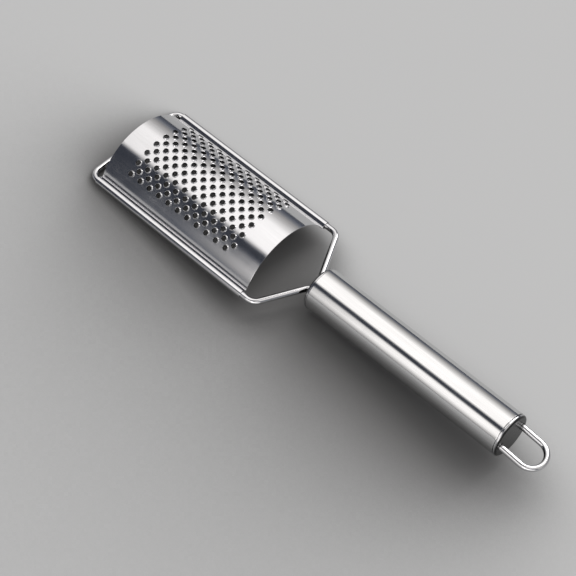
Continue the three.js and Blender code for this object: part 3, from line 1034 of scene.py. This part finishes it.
class GRATER_OT_stage(bpy.types.Operator):
    """Set the floor, the soft lights of the dim room, the side lamp and the camera"""

    bl_idname = "grater.stage"
    bl_label = "Studio"

    FLOOR_RADIUS = 8
    CLOUD_SHADE = 0.98  # brightness of the floor's darkest patches
    CLOUD_FINENESS = 3
    # The camera, in the grater's own axes
    CAMERA_PLACE = (0.43106, -0.37388, 0.65229)
    CAMERA_AHEAD = (-0.4007, 0.4465, -0.8)
    CAMERA_UP = (-0.5649, 0.5671, 0.5994)
    LAMP_TOWARDS = Vector((0.04, 0.66, 0.75)).normalized()
    LAMP_DISTANCE = 1.2
    LAMP_LENGTH = 0.42
    LAMP_HEIGHT = 1.3
    # How far the painted shadow of the grater reaches over the floor's glow, and how quickly it deepens
    PAINTED_SHADOW_REACH = 0.6
    PAINTED_SHADOW_DEPTH = 6.0
    PAINTED_SHADOW_SAMPLES = 32

    # Where the room's lights come up and fade: angles about X in degrees, where 0 is straight up and
    # positive angles lie beyond the grater as the camera sees it, and places along X
    LIGHTS = {
        "key_light": (((-27, -14),), ()),
        "fill_light": (((-36, -49), (-100, -62)), ((-0.5, -0.38), (0.5, 0.2))),
        "front_light": (((-50, -25), (55, 30)), ((0.18, 0.36), (0.6, 0.45))),
        "low_light": (((-52, -70),), ((0.12, 0.4), (0.97, 0.9))),
    }
    # The light overhead fades slowly beyond the grater, and part of it is left past both ends.
    KEY_FADE = (radians(95), radians(36))
    KEY_CURVE = 1.8
    KEY_MIDDLE = ((-0.8, -0.47), (-0.08, -0.32))
    KEY_SPREAD = 0.3
    ENDS = ((-0.05, 0.25), (-0.62, -0.85))
    FULL_TINT = 0.4  # strength from which the room has the tint of the lamps

    def execute(self, context):
        stage = context.scene.grater_stage
        self.floor(stage)
        self.room(context.scene, stage)
        self.side_lamp(stage)
        self.camera(context.scene, stage)
        context.scene.view_settings.view_transform = "Standard"
        return {"FINISHED"}

    def floor(self, stage):
        """A wide round floor of a plain pale colour."""
        floor_disc = new_circle("studio_floor", stage.floor_sides, self.FLOOR_RADIUS, fill="NGON")
        bpy.ops.mesh.inset(thickness=self.FLOOR_RADIUS / 2)
        close()
        floor_disc.data.materials.append(self.pale_floor(stage))

    def pale_floor(self, stage):
        """A plain floor whose paleness is seen directly and in the steel, but lights nothing.

        Its glow carries a painted shadow, which darkens it where the grater hides the sky towards the
        side lamp.
        """
        material = bpy.data.materials.new("pale_floor")
        material.use_nodes = True
        tree = material.node_tree
        shader = tree.nodes["Principled BSDF"]
        shader.inputs["Roughness"].default_value = 0.7
        shader.inputs["Specular IOR Level"].default_value = 0.1
        place = tree.nodes.new("ShaderNodeTexCoord")
        clouds = noise(tree, place.outputs["Object"], self.CLOUD_FINENESS, Detail=3)
        for socket, part in (("Base Color", 1 - stage.floor_glow), ("Emission Color", stage.floor_glow)):
            darkest = toned(stage.floor_colour, part * self.CLOUD_SHADE)
            shade = mix(tree, clouds, darkest, toned(stage.floor_colour, part))
            tree.links.new(shade, shader.inputs[socket])

        path = tree.nodes.new("ShaderNodeLightPath").outputs
        seen = math(tree, "MAXIMUM", path["Is Camera Ray"], path["Is Glossy Ray"])
        seen = math(tree, "MAXIMUM", seen, path["Is Transmission Ray"])
        towards = node(tree, "ShaderNodeCombineXYZ", **dict(zip("XYZ", self.LAMP_TOWARDS)))
        open_sky = node(
            tree,
            "ShaderNodeAmbientOcclusion",
            {"samples": self.PAINTED_SHADOW_SAMPLES},
            Distance=self.PAINTED_SHADOW_REACH,
            Normal=towards.outputs[0],
        )
        # Painted shadow: the glow is dimmed by the occlusion towards the side lamp
        shade = math(tree, "POWER", open_sky.outputs["AO"], self.PAINTED_SHADOW_DEPTH)
        tree.links.new(math(tree, "MULTIPLY", seen, shade), shader.inputs["Emission Strength"])
        return material

    def room(self, scene, stage):
        """A dim room with soft lights overhead, on the left, behind the camera, low and at the ends."""
        world = bpy.data.worlds.new("studio_room")
        world.use_nodes = True
        tree = world.node_tree
        place = tree.nodes.new("ShaderNodeTexCoord")
        towards = node(tree, "ShaderNodeSeparateXYZ", Vector=place.outputs["Generated"]).outputs
        along = towards["X"]
        angle = math(tree, "ARCTAN2", towards["Y"], towards["Z"])

        def patch(angles, places):
            edges = [ramp(tree, angle, *map(radians, limits)) for limits in angles]
            edges += [ramp(tree, along, *limits) for limits in places]
            return product(tree, *edges)

        masks = {light: patch(*limits) for light, limits in self.LIGHTS.items()}
        fade = math(tree, "POWER", ramp(tree, angle, *self.KEY_FADE, eased=False), self.KEY_CURVE)
        middle = patch((), self.KEY_MIDDLE)
        spread = math(tree, "MULTIPLY_ADD", middle, 1 - self.KEY_SPREAD, self.KEY_SPREAD)
        masks["key_light"] = product(tree, masks["key_light"], fade, spread)
        ends = [ramp(tree, along, *limits) for limits in self.ENDS]
        masks["end_light"] = math(tree, "MAXIMUM", *ends)
        lit = 0
        for light, mask in masks.items():
            lit = math(tree, "MULTIPLY_ADD", mask, getattr(stage, light), lit)

        warm = ramp(tree, lit, 0, self.FULL_TINT)
        tint = mix(tree, warm, toned(stage.room_colour), toned(stage.lamp_colour))
        background = tree.nodes["Background"]
        tree.links.new(tint, background.inputs["Color"])
        tree.links.new(math(tree, "ADD", lit, stage.room_light), background.inputs["Strength"])
        scene.world = world

    def side_lamp(self, stage):
        """A soft lamp beyond the grater, which throws its shadow towards the camera's left."""
        activate()
        bpy.ops.object.light_add(
            type="AREA",
            location=self.LAMP_TOWARDS * self.LAMP_DISTANCE,
            rotation=self.LAMP_TOWARDS.to_track_quat("Z", "Y").to_euler(),
        )
        lamp = rename(bpy.context.object, "side_lamp").data
        lamp.shape = "RECTANGLE"
        lamp.size = self.LAMP_LENGTH
        lamp.size_y = self.LAMP_HEIGHT
        lamp.energy = stage.side_light
        lamp.color = stage.lamp_colour

    def camera(self, scene, stage):
        """The photograph's view, with the image taken as square."""
        ahead = Vector(self.CAMERA_AHEAD).normalized()
        side = ahead.cross(Vector(self.CAMERA_UP)).normalized()
        axes = Matrix((side, side.cross(ahead), -ahead)).transposed()
        data = bpy.data.cameras.new("photo_camera")
        data.lens = stage.lens
        data.clip_start = 0.05
        camera = bpy.data.objects.new("photo_camera", data)
        own = Matrix.Translation(self.CAMERA_PLACE) @ axes.to_4x4()
        camera.matrix_world = layout(scene.grater_sizes).placement @ own
        bpy.context.collection.objects.link(camera)
        scene.camera = camera


class GRATER_PT_pieces(bpy.types.Panel):
    """Lists the grater's pieces and its sizes"""

    bl_label = "Hand Grater"
    bl_idname = "GRATER_PT_pieces"
    bl_space_type = "VIEW_3D"
    bl_region_type = "UI"
    bl_category = "Grater"

    def draw(self, context):
        for operator in OPERATORS:
            self.layout.operator(operator.bl_idname)
        for group in ("grater_sizes", "grater_finish", "grater_stage"):
            values = getattr(context.scene, group)
            box = self.layout.box()
            for name in values.bl_rna.properties.keys():
                if name not in ("rna_type", "name"):
                    box.prop(values, name)


OPERATORS = (
    GRATER_OT_plate,
    GRATER_OT_frame_wire,
    GRATER_OT_handle_tube,
    GRATER_OT_end_caps,
    GRATER_OT_hanging_loop,
    GRATER_OT_weld_beads,
    GRATER_OT_stage,
)
CLASSES = (GraterSizes, GraterFinish, GraterStage, *OPERATORS, GRATER_PT_pieces)


def register():
    for cls in CLASSES:
        bpy.utils.register_class(cls)
    bpy.types.Scene.grater_sizes = PointerProperty(type=GraterSizes)
    bpy.types.Scene.grater_finish = PointerProperty(type=GraterFinish)
    bpy.types.Scene.grater_stage = PointerProperty(type=GraterStage)


def unregister():
    del bpy.types.Scene.grater_stage
    del bpy.types.Scene.grater_finish
    del bpy.types.Scene.grater_sizes
    for cls in reversed(CLASSES):
        bpy.utils.unregister_class(cls)


def main():
    register()
    bpy.ops.grater.plate()
    bpy.ops.grater.frame_wire()
    bpy.ops.grater.handle_tube()
    bpy.ops.grater.end_caps()
    bpy.ops.grater.hanging_loop()
    bpy.ops.grater.weld_beads()
    bpy.ops.grater.stage()


if __name__ == "__main__":
    main()
